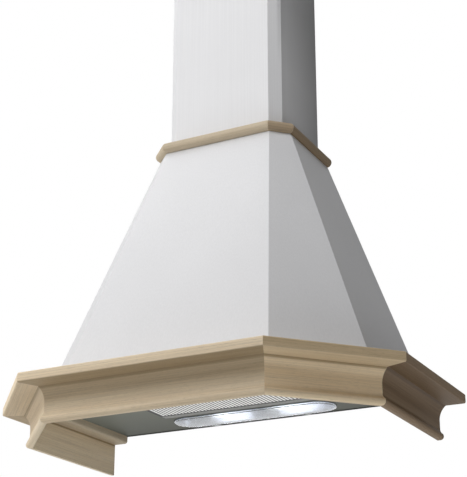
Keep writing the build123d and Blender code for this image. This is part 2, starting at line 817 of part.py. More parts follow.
# ---------------------------------------------------------------- grease filter
def make_filter():
    x0, x1 = -filter_half_width, filter_half_width
    y0, y1 = filter_front_y, filter_rear_y
    z0, z1 = panel_low, panel_low + filter_thick
    win = (
        x0 + filter_border_side,
        x1 - filter_border_side,
        y0 + filter_border_front,
        y1 - filter_border_rear,
    )
    frame = level_box(x0, x1, y0, y1, z0, z1)
    frame = fillet(frame.edges().filter_by(Axis.Z), filter_skin)
    frame -= level_box(*win, z0 - margin, z1 + margin)
    wall = filter_skin
    channels = (
        (x0 + wall, x1 - wall, win[3] + wall, y1 - wall),
        (x0 + wall, x1 - wall, y0 + wall, win[2] - wall),
    )
    for channel in channels:
        frame -= level_box(*channel, z0 + wall, z1 + margin)
    pull_y = (y0 + win[2]) / 2
    pull = SlotOverall(filter_pull_width, filter_pull_depth)
    recess = Pos(0, pull_y, z0 - margin) * extrude(pull, amount=margin + filter_pull_recess)
    cup = extrude(offset(pull, amount=wall), amount=filter_pull_recess + wall)
    frame += Pos(0, pull_y, z0) * cup
    frame -= recess
    for sign in (-1, 1):
        tip = sorted((sign * (filter_half_width - wall), sign * (filter_half_width + filter_pin_length)))
        frame += rod_x(filter_pin_radius, *tip, filter_hinge_y, filter_hinge_z)
    save("filter_frame", frame)

    face = level_box(*win, z0 + filter_rib_depth, z0 + filter_rib_depth + filter_skin)
    count = int((win[1] - win[0] - filter_rib_width) / filter_rib_spacing)
    ribs = []
    for k in range(count + 1):
        x = (k - count / 2) * filter_rib_spacing
        half = filter_rib_width / 2
        ribs.append(level_box(x - half, x + half, win[2], win[3], z0, z0 + filter_rib_depth))
    save("filter_face", face + ribs)
    low = z0 + filter_rib_depth + filter_skin
    pitch = (z1 - filter_skin - low) / filter_mesh_layers
    layers = []
    for k in range(filter_mesh_layers):
        base = low + (k + 1) * pitch - filter_mesh_thick
        layers.append(level_box(*win, base, base + filter_mesh_thick))
    save("filter_mesh", Part() + layers)

    for name, sign in (("filter_catch_left", -1), ("filter_catch_right", 1)):
        x0, x1 = sign * catch_x - catch_width / 2, sign * catch_x + catch_width / 2
        near = filter_front_y - catch_gap
        foot_y = filter_front_y - opening_gap - catch_foot
        foot_top = panel_top + catch_sheet
        catch = level_box(x0, x1, near - catch_sheet, near, foot_top, panel_top + catch_height)
        catch += level_box(x0, x1, foot_y, near, panel_top, foot_top)
        save(name, catch)


# ---------------------------------------------------------------- lamps
def make_lamp_cover():
    low = panel_low - lens_drop
    shell = extrude(stadium(lens_half_length, lens_radius), amount=lens_drop)
    shell = fillet(shell.faces().sort_by(Axis.Z)[0].edges(), lens_round)
    core = extrude(stadium(lens_half_length - lens_wall, lens_radius - lens_wall), amount=lens_drop)
    core = fillet(core.faces().sort_by(Axis.Z)[0].edges(), lens_round - lens_wall)
    cover = Pos(0, lens_centre_y, low) * (shell - Pos(0, 0, lens_wall) * core)
    bore = lens_pin_radius + lens_pin_clearance
    for middle in (-lens_hinge_x, lens_hinge_x):
        x0, x1 = middle - lens_barrel_length / 2, middle + lens_barrel_length / 2
        barrel = rod_x(lens_barrel_radius, x0, x1, lens_hinge_y, lens_hinge_z)
        root = lens_centre_y + lens_radius - lens_wall / 2
        leaf = level_box(x0, x1, root, lens_hinge_y, lens_hinge_z, lens_hinge_z + lens_leaf)
        cover += barrel + leaf
        cover -= rod_x(bore, x0 - margin, x1 + margin, lens_hinge_y, lens_hinge_z)
    save("lamp_cover", cover)


def make_lamps():
    x = lens_half_length - lens_lap - lamp_housing_inset
    y0 = lens_centre_y - lens_radius + lens_lap - sheet
    y1 = lens_centre_y + lens_radius - lens_lap + sheet
    z0, z1 = panel_top, panel_top + lamp_housing_height
    tray = level_box(-x, x, y0, y1, z0, z1)
    tray = fillet(tray.edges().filter_by(Axis.Z), lamp_housing_corner)
    hollow = level_box(-x + sheet, x - sheet, y0 + sheet, y1 - sheet, z0 - margin, z1 - sheet)
    hollow = fillet(hollow.edges().filter_by(Axis.Z), lamp_housing_corner - sheet)
    save("lamp_housing", tray - hollow)

    for name, sign in (("left", -1), ("right", 1)):
        near = sign * holder_from_middle
        far = sign * (holder_from_middle + holder_length)
        span = sorted((near, far))
        body = rod_x(holder_radius, *span, lens_centre_y, lamp_axis_z)
        foot_y = holder_foot / 2
        body += level_box(*span, lens_centre_y - foot_y, lens_centre_y + foot_y, lamp_axis_z, z1 - sheet)
        socket = sorted((far - sign * bulb_cap_depth, far + sign * margin))
        body -= rod_x(bulb_cap_radius + bulb_cap_clearance, *socket, lens_centre_y, lamp_axis_z)
        save(f"lamp_holder_{name}", body)

        cap = bulb_cap_depth - bulb_cap_clearance
        neck = bulb_cap_clearance
        widest = bulb_length * bulb_widest_share
        shoulder = (bulb_length + widest) / 2
        edges = [
            Line((-cap, 0), (-cap, bulb_cap_radius)),
            Line((-cap, bulb_cap_radius), (neck, bulb_cap_radius)),
            Line((neck, bulb_cap_radius), (neck, bulb_neck_radius)),
            Spline(
                (neck, bulb_neck_radius),
                (widest, bulb_radius),
                (shoulder, bulb_radius * bulb_shoulder_share),
                (bulb_length, 0),
                tangents=[bulb_neck_tangent, bulb_tip_tangent],
            ),
            Line((bulb_length, 0), (-cap, 0)),
        ]
        bulb = revolve(make_face(edges), Axis.X)
        turned = bulb if sign > 0 else mirror(bulb, Plane.YZ)
        save(f"bulb_{name}", Pos(far, lens_centre_y, lamp_axis_z) * turned)


# ---------------------------------------------------------------- push buttons
def button_places():
    return [(k - (button_count - 1) / 2) * button_spacing for k in range(button_count)]


def make_controls():
    lip_low = panel_low - bezel_lip
    lip = level_box(
        -bezel_half_width,
        bezel_half_width,
        bezel_y - bezel_half_depth,
        bezel_y + bezel_half_depth,
        lip_low,
        panel_low,
    )
    lip = fillet(lip.edges().filter_by(Axis.Z), bezel_corner)
    lip = fillet(lip.faces().sort_by(Axis.Z)[0].edges(), bezel_lip_round)
    bx, by = bezel_half_width - bezel_body_inset, bezel_half_depth - bezel_body_inset
    body_top = panel_low + bezel_body_height
    bezel = lip + level_box(-bx, bx, bezel_y - by, bezel_y + by, panel_low, body_top)
    hx, hy = button_width / 2 + button_clearance, button_depth / 2 + button_clearance
    z0, z1 = lip_low - margin, body_top + margin
    for x in button_places():
        bezel -= level_box(x - hx, x + hx, bezel_y - hy, bezel_y + hy, z0, z1)
    save("button_bezel", bezel)
    sy = by - switch_inset
    save(
        "switch_block",
        level_box(-bx, bx, bezel_y - sy, bezel_y + sy, body_top, body_top + switch_height),
    )
    low = lip_low - button_proud
    half, deep = button_width / 2, button_depth / 2
    for number, x in enumerate(button_places(), start=1):
        high = low + button_height
        key = level_box(x - half, x + half, bezel_y - deep, bezel_y + deep, low, high)
        key = fillet(key.edges().filter_by(Axis.Z), button_round)
        key = fillet(key.faces().sort_by(Axis.Z)[0].edges(), button_round)
        save(f"button_{number}", key)


os.makedirs("parts", exist_ok=True)
make_cornice()
make_battens()
make_canopy()
make_canopy_screws()
make_back_panel()
make_neck_plate()
make_collar()
make_chimney()
make_glides()
make_outlet()
make_flaps()
make_blower()
make_wheel()
make_motor()
make_wiring()
make_under_panel()
make_filter()
make_lamp_cover()
make_lamps()
make_controls()
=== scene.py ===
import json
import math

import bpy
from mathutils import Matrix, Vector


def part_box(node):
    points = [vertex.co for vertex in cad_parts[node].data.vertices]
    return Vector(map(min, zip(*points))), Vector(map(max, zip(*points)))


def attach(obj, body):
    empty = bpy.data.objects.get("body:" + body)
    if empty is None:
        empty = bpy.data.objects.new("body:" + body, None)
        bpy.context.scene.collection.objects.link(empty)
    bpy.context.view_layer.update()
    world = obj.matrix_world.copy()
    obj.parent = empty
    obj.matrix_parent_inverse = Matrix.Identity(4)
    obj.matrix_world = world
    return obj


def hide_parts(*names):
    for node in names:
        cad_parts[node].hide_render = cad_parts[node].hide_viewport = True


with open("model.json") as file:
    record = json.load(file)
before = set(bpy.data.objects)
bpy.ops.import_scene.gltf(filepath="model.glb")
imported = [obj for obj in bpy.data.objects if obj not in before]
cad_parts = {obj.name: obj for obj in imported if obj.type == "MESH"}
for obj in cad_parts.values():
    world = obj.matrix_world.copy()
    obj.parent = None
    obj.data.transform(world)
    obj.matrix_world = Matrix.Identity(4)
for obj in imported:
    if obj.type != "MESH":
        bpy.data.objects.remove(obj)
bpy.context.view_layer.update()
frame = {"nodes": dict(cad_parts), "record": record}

# %% [markdown]
# # A wooden range hood, dressed for the camera
# The hood arrives as a measured model: sixty solids in metres, with the origin where the wall
# screws go, +X to the right, +Y into the wall and +Z up. This notebook keeps those solids and gives
# each one its finish. Where a plain solid is too coarse, as on the lamp cover or the filter, it
# models a finer piece in the same place. We start with the modules and the solids that came in.

nodes = frame["nodes"]

# %% [markdown]
# ## The camera
# The photograph looks up at the hood from below and from the right, through a long lens. So the
# camera tilts up by 20.8 degrees and turns left by 27.3 degrees. Its frame is shifted by only 0.03
# of its height, because a larger shift would cut the hood off in the other views.

# %% Camera at the photograph's viewpoint
bpy.ops.object.select_all(action="DESELECT")
viewpoint = (1.2357, -2.5450, -0.9019)
tilt_up, turn_left = math.radians(20.845), math.radians(27.336)
film_width, focal_length = 36, 100.16  # millimetres
frame_shift = 0.03
bpy.ops.object.camera_add(location=viewpoint, rotation=(math.pi / 2 + tilt_up, 0, turn_left))
camera = bpy.context.object
camera.name = "camera"
camera.data.sensor_width = film_width
camera.data.lens = focal_length
camera.data.shift_y = frame_shift
bpy.context.scene.camera = camera
print("camera lens, mm:", camera.data.lens)

# %% [markdown]
# ## Background and floor
# The photograph is cut out on white. A world that is white only to the camera and through glass
# gives that without pouring light on the hood. Gloss sees a mid grey instead, so that the paint's
# far edges don't wash out, and matt surfaces see only a faint white. The lamps further down do the
# rest. The floor is pale, and lies where a kitchen floor does, 1.6 metres below the hood. A glow
# that only the camera, gloss and glass see makes it nearly white, and it still takes a shadow.

# %% World: white to look at, dim as a light
ambient_level, gloss_level = 0.08, 0.45
world = bpy.data.worlds.new("white_surround")
bpy.context.scene.world = world
world.use_nodes = True
tree = world.node_tree
tree.nodes.clear()


def background(strength):
    made = tree.nodes.new("ShaderNodeBackground")
    made.inputs["Color"].default_value = (1, 1, 1, 1)
    made.inputs["Strength"].default_value = strength
    return made.outputs[0]


def choose(share, without, chosen):
    made = tree.nodes.new("ShaderNodeMixShader")
    tree.links.new(share, made.inputs[0])
    tree.links.new(without, made.inputs[1])
    tree.links.new(chosen, made.inputs[2])
    return made.outputs[0]


rays = tree.nodes.new("ShaderNodeLightPath")
lit = choose(rays.outputs["Is Glossy Ray"], background(ambient_level), background(gloss_level))
lit = choose(rays.outputs["Is Transmission Ray"], lit, background(1.0))
lit = choose(rays.outputs["Is Camera Ray"], lit, background(1.0))
tree.links.new(lit, tree.nodes.new("ShaderNodeOutputWorld").inputs["Surface"])
bpy.context.scene.view_settings.view_transform = "Standard"
print("ambient and gloss levels:", ambient_level, gloss_level)

# %% Floor
floor_width, floor_height, floor_glow = 30, -1.9, 0.75
bpy.ops.object.select_all(action="DESELECT")
bpy.ops.mesh.primitive_plane_add(size=floor_width, location=(0, 0, floor_height))
floor = bpy.context.object
floor.name = "floor"
floor_finish = bpy.data.materials.new("pale_floor")
floor_finish.use_nodes = True
floor_shader = floor_finish.node_tree.nodes["Principled BSDF"]
floor_shader.inputs["Base Color"].default_value = (0.82, 0.82, 0.80, 1)
floor_shader.inputs["Roughness"].default_value = 0.7
floor_nodes, floor_links = floor_finish.node_tree.nodes, floor_finish.node_tree.links
floor_rays = floor_nodes.new("ShaderNodeLightPath")
glow = floor_rays.outputs["Is Camera Ray"]
for ray in ("Is Glossy Ray", "Is Transmission Ray"):
    either = floor_nodes.new("ShaderNodeMath")
    either.operation = "MAXIMUM"
    floor_links.new(floor_rays.outputs[ray], either.inputs[0])
    floor_links.new(glow, either.inputs[1])
    glow = either.outputs[0]
paler = floor_nodes.new("ShaderNodeMath")
paler.operation = "MULTIPLY"
paler.inputs[1].default_value = floor_glow
floor_links.new(glow, paler.inputs[0])
floor_shader.inputs["Emission Color"].default_value = (1, 1, 1, 1)
floor_links.new(paler.outputs[0], floor_shader.inputs["Emission Strength"])
floor.data.materials.append(floor_finish)
print("floor height, metres:", floor.location.z)

# %% [markdown]
# ## Studio lamps
# In the photograph the front is bright, the right-hand faces fall to grey and the underside is
# softly lit from below. So the strongest lamp stands at the front left. A high and a low one light
# the left, a high one fills the front, and two faint ones at the right keep the dark side and the
# underside readable. The lamp behind the wall does nothing here: it lights the back for the other
# views.

# %% Soft area lamps, each aimed at the hood
hood_middle = Vector((0, -0.25, 0.2))


def soft_lamp(name, place, power, size=1.4):
    """A square lamp: its power in watts, its size in metres."""
    bpy.ops.object.light_add(type="AREA", location=place)
    lamp = bpy.context.object
    lamp.name = name
    lamp.data.size = size
    lamp.data.energy = power
    toward = hood_middle - Vector(place)
    lamp.rotation_euler = toward.to_track_quat("-Z", "Y").to_euler()
    print(name, "watts:", power)


soft_lamp("front_left_lamp", (-0.84, -2.55, 1.09), 35)
soft_lamp("high_front_lamp", (0.29, -1.90, 2.19), 15.5)
soft_lamp("low_left_lamp", (-2.47, -0.69, -0.47), 20)
soft_lamp("high_left_lamp", (-1.65, -0.54, 2.19), 17.5)
soft_lamp("low_right_lamp", (1.57, -0.82, -1.79), 12.5)
soft_lamp("high_right_lamp", (1.57, -0.82, 2.19), 6)
soft_lamp("back_lamp", (-1.1, 2.4, 0.6), 36, size=1.7)

# %% [markdown]
# ## Finishes
# Every finish is a small network of nodes on the object's own coordinates, so it stays on the
# piece when the piece moves. Small helpers do the repeated work: one starts a material, one makes
# stretched noise, one turns a pattern into colours, and one turns it into a bump. `shade_toward`
# darkens a finish from one place to another, for the shade that the photograph shows on a side.
# `finish_solids` gives a finish to the solids that it names.

# %% Helpers for the finishes
def start_material(name, colour, roughness, metallic=0.0):
    made = bpy.data.materials.new(name)
    made.use_nodes = True
    shader = made.node_tree.nodes["Principled BSDF"]
    shader.inputs["Base Color"].default_value = (*colour, 1)
    shader.inputs["Roughness"].default_value = roughness
    shader.inputs["Metallic"].default_value = metallic
    return made, made.node_tree.nodes, made.node_tree.links, shader


def stretched_noise(tree_nodes, links, cell, turn=0.0, shift=(0, 0, 0), detail=4.0):
    """Noise whose cells are as large as cell, in metres, turned about Z."""
    place = tree_nodes.new("ShaderNodeTexCoord")
    mapping = tree_nodes.new("ShaderNodeMapping")
    mapping.vector_type = "TEXTURE"
    mapping.inputs["Scale"].default_value = cell
    mapping.inputs["Rotation"].default_value = (0, 0, turn)
    mapping.inputs["Location"].default_value = shift
    noise = tree_nodes.new("ShaderNodeTexNoise")
    noise.inputs["Scale"].default_value = 1.0
    noise.inputs["Detail"].default_value = detail
    links.new(place.outputs["Object"], mapping.inputs["Vector"])
    links.new(mapping.outputs["Vector"], noise.inputs["Vector"])
    return noise.outputs["Fac"]


def ramp(tree_nodes, links, source, stops):
    made = tree_nodes.new("ShaderNodeValToRGB")
    points = made.color_ramp.elements
    while len(points) < len(stops):
        points.new(0.5)
    for point, (place, colour) in zip(points, stops):
        point.position = place
        point.color = (*colour, 1)
    links.new(source, made.inputs["Fac"])
    return made.outputs["Color"]


def blend_colours(tree_nodes, links, kind, share, first, second):
    made = tree_nodes.new("ShaderNodeMix")
    made.data_type = "RGBA"
    made.blend_type = kind
    made.inputs["Factor"].default_value = share
    links.new(first, made.inputs["A"])
    links.new(second, made.inputs["B"])
    return made.outputs["Result"]


def add_bump(tree_nodes, links, shader, source, height):
    bump = tree_nodes.new("ShaderNodeBump")
    bump.inputs["Distance"].default_value = height
    links.new(source, bump.inputs["Height"])
    if shader.inputs["Normal"].is_linked:
        links.new(shader.inputs["Normal"].links[0].from_socket, bump.inputs["Normal"])
    links.new(bump.outputs["Normal"], shader.inputs["Normal"])


def vary_roughness(tree_nodes, links, shader, source, low, high):
    spread = tree_nodes.new("ShaderNodeMapRange")
    spread.inputs["To Min"].default_value = low
    spread.inputs["To Max"].default_value = high
    links.new(source, spread.inputs["Value"])
    links.new(spread.outputs["Result"], shader.inputs["Roughness"])


def grey(value):
    return (value, value, value)


def way_along(tree_nodes, links, axis, near, far):
    """How far a point is along an axis: 0 at near, 1 at far, both in metres."""
    place = tree_nodes.new("ShaderNodeTexCoord")
    split = tree_nodes.new("ShaderNodeSeparateXYZ")
    spread = tree_nodes.new("ShaderNodeMapRange")
    spread.inputs["From Min"].default_value = near
    spread.inputs["From Max"].default_value = far
    links.new(place.outputs["Object"], split.inputs[0])
    links.new(split.outputs[axis], spread.inputs["Value"])
    return spread.outputs["Result"]


def shade_toward(made, axis, near, far, darkest, only_past=None):
    """Darkens a finish along an axis; only_past, an axis and two places, keeps it to one side."""
    tree_nodes, links = made.node_tree.nodes, made.node_tree.links
    shader = tree_nodes["Principled BSDF"]
    way = way_along(tree_nodes, links, axis, near, far)
    tone = ramp(tree_nodes, links, way, [(0.0, grey(1.0)), (1.0, grey(darkest))])
    base = shader.inputs["Base Color"].links[0].from_socket
    shaded = blend_colours(tree_nodes, links, "MULTIPLY", 1.0, base, tone)
    if only_past:
        links.new(way_along(tree_nodes, links, *only_past), shaded.node.inputs["Factor"])
    links.new(shaded, shader.inputs["Base Color"])


def finish_solids(finish, *names):
    for name in names:
        nodes[name].data.materials[0] = finish


print("helpers are ready")

# %% [markdown]
# ### Limed wood
# The rails are raw pale oak with straight grain. Real grain is three things at once: broad soft
# bands of colour, fine streaks, and short dark pores, all running along the rail. So the same
# noise is stretched along the rail at three sizes. Each rail gets its own turn and its own place
# in the pattern, because a joiner cuts each one from another piece of board.
#
# The cornice has one thing more: painted shade. A ramp over the height paints its proud parts
# pale and its hollows darker, with a dark painted shadow line where the fascia meets the underside.
# Some rails get painted light and shade of their own, and the right-hand side the deepest shade.

# %% Wood that runs along a rail
pale_wood, light_band, deep_band = (0.80, 0.665, 0.50), (0.99, 0.835, 0.615), (0.89, 0.725, 0.51)
plain_share = 0.62  # how pale a rail without painted shade by height is


def painted_shade_by_height(cove, soffit, fascia):
    """Painted shade: how pale the wood is at each height in metres, from the bead at the foot
    upwards.
    """
    bead = [(-0.300, 0.98), (-0.289, 1.0), (-0.279, min(1.0, cove + 0.16))]
    hollow = [(-0.262, cove), (-0.2355, 0.88 * cove)]
    crease_shadow = [(-0.2328, 0.44), (-0.2304, 0.38)]
    underside = [(-0.2300, soffit), (-0.2294, soffit)]
    return bead + hollow + crease_shadow + underside + [(-0.2270, fascia)]


def warm(share):
    """A darker share of a wood colour, which loses more green than red, and most blue."""
    return (share, share**1.12, share**1.35)


def limed_wood(name, turn, shift, wear_light_and_shade=(1, 1, 1), shade_heights=None):
    made, tree_nodes, links, shader = start_material(name, pale_wood, 0.55)
    shader.inputs["Specular IOR Level"].default_value = 0.3
    bands = stretched_noise(tree_nodes, links, (0.55, 0.020, 0.016), turn, shift, 2.0)
    streaks = stretched_noise(tree_nodes, links, (0.20, 0.0017, 0.0015), turn, shift, 5.0)
    pores = stretched_noise(tree_nodes, links, (0.012, 0.0006, 0.0006), turn, shift, 2.0)
    plain = 1.0 if shade_heights else plain_share
    light = [plain * c * share for c, share in zip(light_band, wear_light_and_shade)]
    deep = [plain * c * share for c, share in zip(deep_band, wear_light_and_shade)]
    broad = ramp(tree_nodes, links, bands, [(0.34, deep), (0.62, light)])
    fine = ramp(tree_nodes, links, streaks, [(0.32, grey(0.77)), (0.58, grey(1.0))])
    dots = ramp(tree_nodes, links, pores, [(0.30, grey(0.55)), (0.42, grey(1.0))])
    colour = blend_colours(tree_nodes, links, "MULTIPLY", 0.75, broad, fine)
    colour = blend_colours(tree_nodes, links, "MULTIPLY", 0.45, colour, dots)
    # Painted shade by height on the cornice: a darker underside and cove, and a dark line at the
    # crease.
    if shade_heights:
        low, high = shade_heights[0][0], shade_heights[-1][0]
        height = way_along(tree_nodes, links, "Z", low, high)
        stops = [((z - low) / (high - low), warm(share)) for z, share in shade_heights]
        height_shading = ramp(tree_nodes, links, height, stops)
        colour = blend_colours(tree_nodes, links, "MULTIPLY", 1.0, colour, height_shading)
    links.new(colour, shader.inputs["Base Color"])
    vary_roughness(tree_nodes, links, shader, streaks, 0.62, 0.46)
    add_bump(tree_nodes, links, shader, fine, 0.00012)
    add_bump(tree_nodes, links, shader, dots, 0.00010)
    return made


print("the wood's bands:", light_band, deep_band)

# %% [markdown]
# Now every rail gets its own wood. The grain runs along the rail, so the pattern turns with it:
# the cornice's angled rails go 208 millimetres back over 188 across, and the collar's go at 45
# degrees. The painted light and shade were set rail by rail, until a render and the photograph
# looked alike.

# %% Each rail's turn and its painted light and shade
cornice_turn = math.atan2(0.208, 0.188)
rail_turns = {
    "front": 0.0,
    "chamfer_left": -cornice_turn,
    "chamfer_right": cornice_turn,
    "side_left": math.pi / 2,
    "side_right": math.pi / 2,
}
collar_turns = dict(rail_turns, chamfer_left=-math.pi / 4, chamfer_right=math.pi / 4)
# Painted light and shade per rail: the cornice's right-hand chamfer a little paler, the collar's
# right-hand chamfer darker, and every right-hand side much darker.
rail_light_and_shade = dict.fromkeys(rail_turns, (1, 1, 1))
rail_light_and_shade.update(chamfer_right=(1.04, 1.02, 0.98), side_right=(0.275, 0.22, 0.17))
collar_light_and_shade = dict(rail_light_and_shade, chamfer_right=(0.84, 0.78, 0.73), side_right=(0.53, 0.46, 0.385))
# Painted shade by height for each cornice rail, given for the cove, the underside and the fascia.
rail_shade_profiles = {
    "front": painted_shade_by_height(0.80, 0.50, 1.0),
    "chamfer_left": painted_shade_by_height(0.80, 0.86, 1.0),
    "chamfer_right": painted_shade_by_height(1.0, 0.84, 0.64),
    "side_left": painted_shade_by_height(1.0, 0.62, 1.0),
    "side_right": painted_shade_by_height(0.78, 0.66, 1.0),
}
wood_nodes = []
for group, turns, side_shades in (
    ("cornice", rail_turns, rail_light_and_shade),
    ("batten", rail_turns, rail_light_and_shade),
    ("collar", collar_turns, collar_light_and_shade),
):
    for count, (side, turn) in enumerate(turns.items()):
        node = f"{group}_{side}"
        place = (0.37 * count, 0.11 * len(wood_nodes), 0.05 * count)
        shade_heights = rail_shade_profiles[side] if group == "cornice" else None
        finish = limed_wood(f"wood_{node}", turn, place, side_shades[side], shade_heights)
        if node == "cornice_front":
            shade_toward(finish, "X", -0.36, 0.10, 0.89)
        finish_solids(finish, node)
        wood_nodes.append(node)
worn_wood = limed_wood("worn_edge", 0.0, (0, 0, 0), (1.1, 1.1, 1.1))
print("wooden rails:", len(wood_nodes))

# %% [markdown]
# ### Painted steel
# The canopy and chimney are sheet steel with a satin light grey coat. Close up, such a coat shows
# a fine orange peel, and light catches faint upright streaks that the sheet's rolling leaves. The
# chimney's right side gets darker towards the wall and upwards, as it does in the photograph, and
# so does the grey panel under the hood towards the wall.

# %% Satin painted sheet
def satin_paint(name, colour, roughness, sheen=0.5):
    made, tree_nodes, links, shader = start_material(name, colour, roughness)
    shader.inputs["Specular IOR Level"].default_value = sheen
    streaks = stretched_noise(tree_nodes, links, (0.0022, 0.0022, 0.30), detail=3.0)
    peel = stretched_noise(tree_nodes, links, grey(0.0016), detail=1.0)
    cloud = stretched_noise(tree_nodes, links, grey(0.22), detail=2.0)
    darker = tuple(0.955 * c for c in colour)
    tone = ramp(tree_nodes, links, streaks, [(0.3, darker), (0.7, colour)])
    soft = ramp(tree_nodes, links, cloud, [(0.3, grey(0.965)), (0.7, grey(1.0))])
    mixed = blend_colours(tree_nodes, links, "MULTIPLY", 1.0, tone, soft)
    links.new(mixed, shader.inputs["Base Color"])
    vary_roughness(tree_nodes, links, shader, streaks, roughness - 0.04, roughness + 0.06)
    add_bump(tree_nodes, links, shader, peel, 0.00004)
    add_bump(tree_nodes, links, shader, streaks, 0.00003)
    return made


coat_colour, coat_roughness = (0.80, 0.80, 0.815), 0.42
paint = satin_paint("painted_steel", coat_colour, coat_roughness)
finish_solids(paint, *[n for n in nodes if n.startswith("canopy_") and n != "canopy_screws"])
chimney_paint = satin_paint("painted_chimney", coat_colour, coat_roughness)
chimney_low, chimney_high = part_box("lower_chimney")
right_side = ("X", chimney_high.x - 0.008, chimney_high.x - 0.004)
shade_toward(chimney_paint, "Y", chimney_low.y + 0.05, 0.0, 0.42, right_side)
shade_toward(chimney_paint, "Z", 0.52, 0.72, 0.72, right_side)
finish_solids(chimney_paint, "lower_chimney", "upper_chimney")
panel_grey = satin_paint("grey_panel", (0.31, 0.325, 0.28), 0.52, 0.15)
shade_toward(panel_grey, "Y", -0.30, -0.01, 0.42)
finish_solids(panel_grey, "under_panel")
frame_grey = satin_paint("filter_frame_grey", (0.36, 0.36, 0.345), 0.45, 0.25)
finish_solids(frame_grey, "filter_frame")
print("painted:", [m.name for m in (paint, chimney_paint, panel_grey, frame_grey)])

# %% [markdown]
# ### Bare metals
# Galvanised steel shows its crystals as pale patches with straight edges, which is what Voronoi
# cells look like. Rolled aluminium shows fine lines along the roll. The filter's pad is a weave of
# aluminium strands, and two sets of waves that cross each other make that.

# %% Zinc, steel and aluminium
def spangled_zinc(name):
    made, tree_nodes, links, shader = start_material(name, (0.62, 0.64, 0.65), 0.4, 1.0)
    dull, bright = (0.52, 0.54, 0.55), (0.70, 0.72, 0.73)
    place = tree_nodes.new("ShaderNodeTexCoord")
    cells = tree_nodes.new("ShaderNodeTexVoronoi")
    cells.inputs["Scale"].default_value = 95
    links.new(place.outputs["Object"], cells.inputs["Vector"])
    tone = ramp(tree_nodes, links, cells.outputs["Color"], [(0.2, dull), (0.8, bright)])
    links.new(tone, shader.inputs["Base Color"])
    vary_roughness(tree_nodes, links, shader, cells.outputs["Color"], 0.50, 0.70)
    return made


def rolled_metal(name, colour, roughness, cell, metallic=1.0):
    made, tree_nodes, links, shader = start_material(name, colour, roughness, metallic)
    lines = stretched_noise(tree_nodes, links, cell, detail=3.0)
    darker = tuple(0.86 * c for c in colour)
    tone = ramp(tree_nodes, links, lines, [(0.3, darker), (0.7, colour)])
    links.new(tone, shader.inputs["Base Color"])
    vary_roughness(tree_nodes, links, shader, lines, roughness - 0.05, roughness + 0.08)
    add_bump(tree_nodes, links, shader, lines, 0.00002)
    return made


def woven_metal(name, colour, pitch):
    """A weave of bright strands: bands along X crossed with bands along Y."""
    made, tree_nodes, links, shader = start_material(name, colour, 0.35, 0.9)
    place = tree_nodes.new("ShaderNodeTexCoord")
    stops = [(0.15, grey(0.12)), (0.6, colour)]
    strands = []
    for axis in ("X", "Y"):
        wave = tree_nodes.new("ShaderNodeTexWave")
        wave.bands_direction = axis
        wave.inputs["Scale"].default_value = math.pi / 10 / pitch
        links.new(place.outputs["Object"], wave.inputs["Vector"])
        strands.append(ramp(tree_nodes, links, wave.outputs["Fac"], stops))
    weave = blend_colours(tree_nodes, links, "LIGHTEN", 1.0, *strands)
    links.new(weave, shader.inputs["Base Color"])
    add_bump(tree_nodes, links, shader, weave, 0.0004)
    return made


print("metal helpers are ready")

# %% The metals and the solids that they finish
even, along_x, along_y = grey(0.0008), (0.05, 0.0012, 0.0012), (0.001, 0.06, 0.001)
zinc = spangled_zinc("zinc_steel")
woven = woven_metal("woven_aluminium", (0.80, 0.80, 0.79), 0.0045)
screw_zinc = rolled_metal("zinc_screws", (0.70, 0.70, 0.68), 0.30, even)
steel = rolled_metal("bright_steel", (0.70, 0.70, 0.72), 0.25, (0.0006, 0.02, 0.02))
motor_metal = rolled_metal("motor_aluminium", (0.52, 0.53, 0.55), 0.5, grey(0.0012))
filter_metal = rolled_metal("filter_aluminium", (0.97, 0.97, 0.95), 0.36, along_y, 0.9)
reflector = rolled_metal("reflector", (0.29, 0.305, 0.35), 0.24, along_x)
rim_metal = rolled_metal("lamp_rim_metal", (0.42, 0.43, 0.45), 0.40, along_x, 0.5)
wire_metal = rolled_metal("filter_wire", (0.25, 0.25, 0.25), 0.50, grey(0.001), 0.7)
# Painted shade: a near-black backing for the filter's depth between its ribs.
shade_backing = rolled_metal("filter_shade_backing", (0.07, 0.07, 0.07), 0.85, along_y, 0.0)
finish_solids(zinc, "back_panel", "neck_plate", "chimney_bracket", "motor_bracket")
finish_solids(screw_zinc, "canopy_screws", "bracket_screws")
finish_solids(steel, "flap_spindle", "motor_shaft", "filter_catch_left", "filter_catch_right")
finish_solids(filter_metal, "filter_face")
finish_solids(woven, "filter_mesh")
finish_solids(motor_metal, "blower_motor")
finish_solids(reflector, "lamp_housing")
print("metals:", [m.name for m in (zinc, woven, screw_zinc, steel, motor_metal, filter_metal)])

# %% [markdown]
# ### Plastics, ceramic, plywood and glass
# Moulded plastic takes a fine grain from its tool. The lamp holders are glazed ceramic, so they
# are smooth. The splines in the mitres are plywood, whose layers show as stripes.

# %% Moulded plastics and the rest
def moulded(name, colour, roughness, grain=0.00003):
    made, tree_nodes, links, shader = start_material(name, colour, roughness)
    speckle = stretched_noise(tree_nodes, links, grey(0.0007), detail=2.0)
    cloud = stretched_noise(tree_nodes, links, grey(0.03), detail=2.0)
    tone = ramp(tree_nodes, links, cloud, [(0.3, tuple(0.9 * c for c in colour)), (0.7, colour)])
    links.new(tone, shader.inputs["Base Color"])
    vary_roughness(tree_nodes, links, shader, cloud, roughness - 0.04, roughness + 0.04)
    add_bump(tree_nodes, links, shader, speckle, grain)
    return made


def plywood_edge(name):
    made, tree_nodes, links, shader = start_material(name, (0.70, 0.56, 0.38), 0.6)
    layers = stretched_noise(tree_nodes, links, (0.2, 0.2, 0.0009), detail=0.0)
    tone = ramp(tree_nodes, links, layers, [(0.45, (0.52, 0.38, 0.24)), (0.55, (0.76, 0.62, 0.44))])
    links.new(tone, shader.inputs["Base Color"])
    return made


